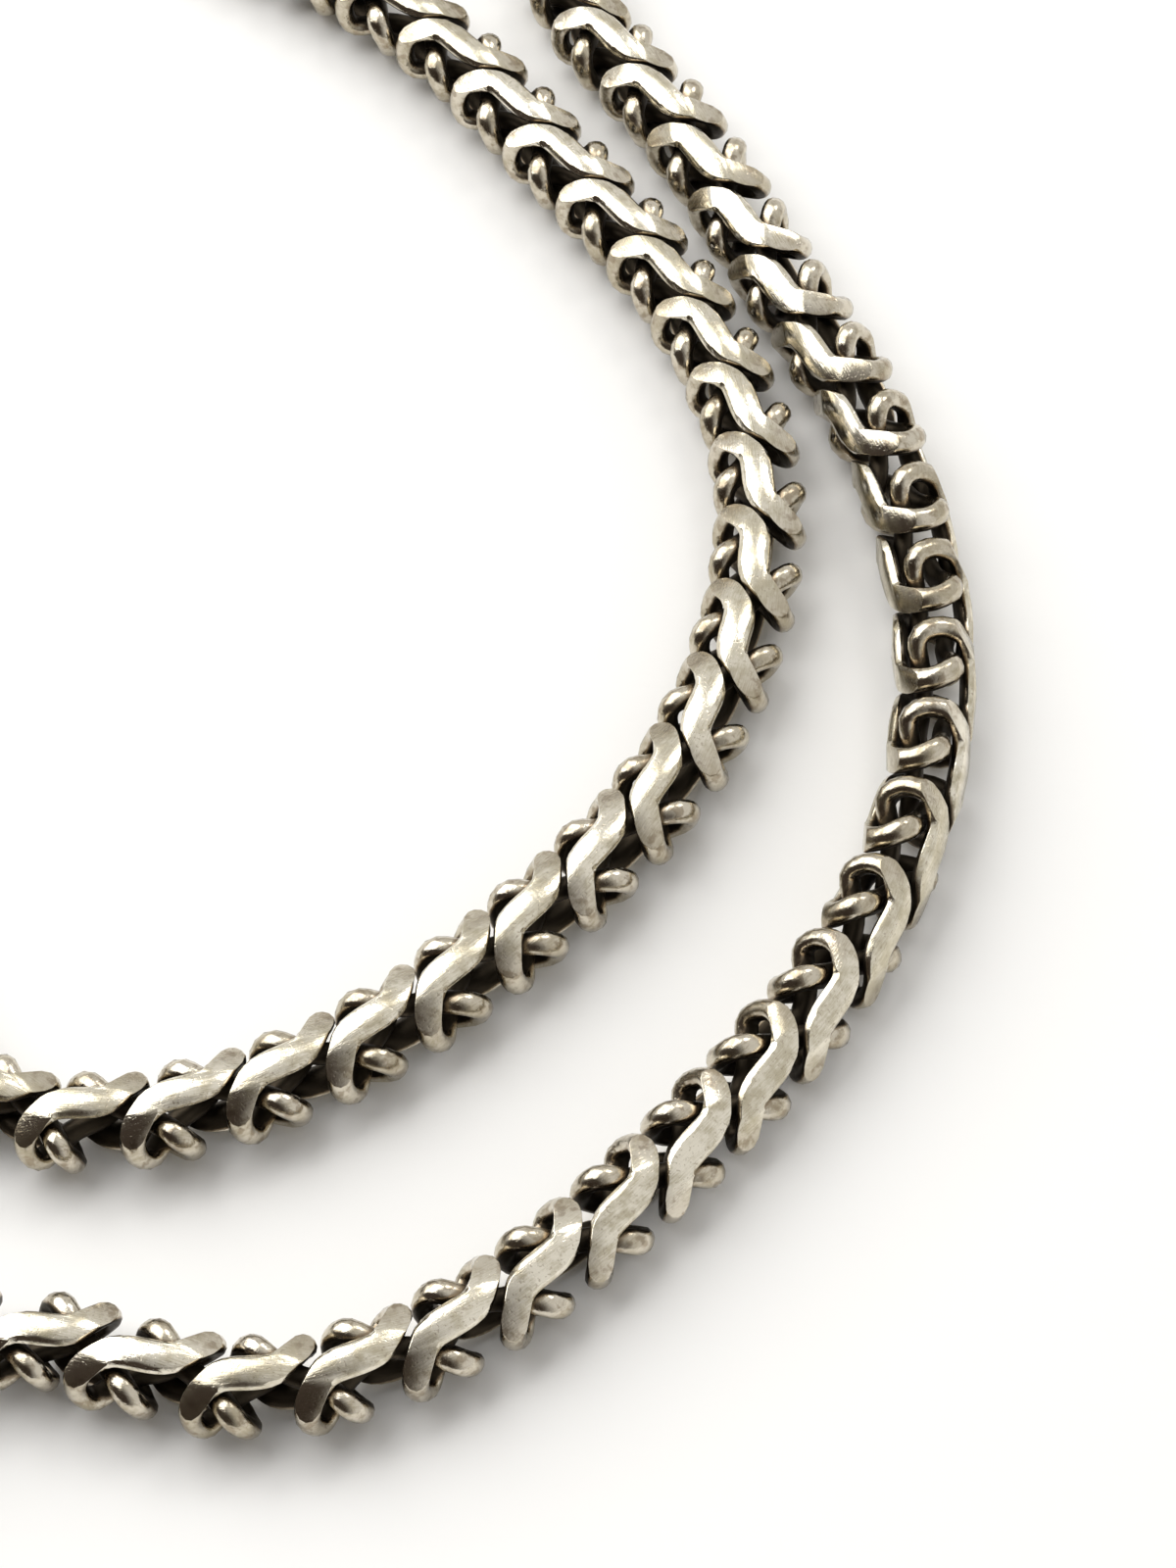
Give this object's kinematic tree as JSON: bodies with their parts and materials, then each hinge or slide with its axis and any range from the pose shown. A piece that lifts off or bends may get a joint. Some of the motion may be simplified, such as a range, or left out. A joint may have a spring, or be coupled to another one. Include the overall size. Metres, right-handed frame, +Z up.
{
  "type": "wheat chain necklace",
  "caption": "Heavy wheat chain necklace of interlocked flattened rings, lying doubled, closed by a plain clasp.",
  "frame": {"origin": "on the surface that the necklace lies on, under the middle of its box", "axes": "+Z up from the surface, +Y along the doubled necklace towards its far bend"},
  "size_m": [0.1025, 0.1514, 0.0073],
  "materials": {
    "chain_silver": "worn polished silver, darkened in the recesses",
    "clasp_silver": "plain brushed silver"
  },
  "bodies": {
    "root": {"chain_inner_run": "chain_silver", "chain_outer_run": "chain_silver", "clasp": "clasp_silver"}
  },
  "joints": []
}
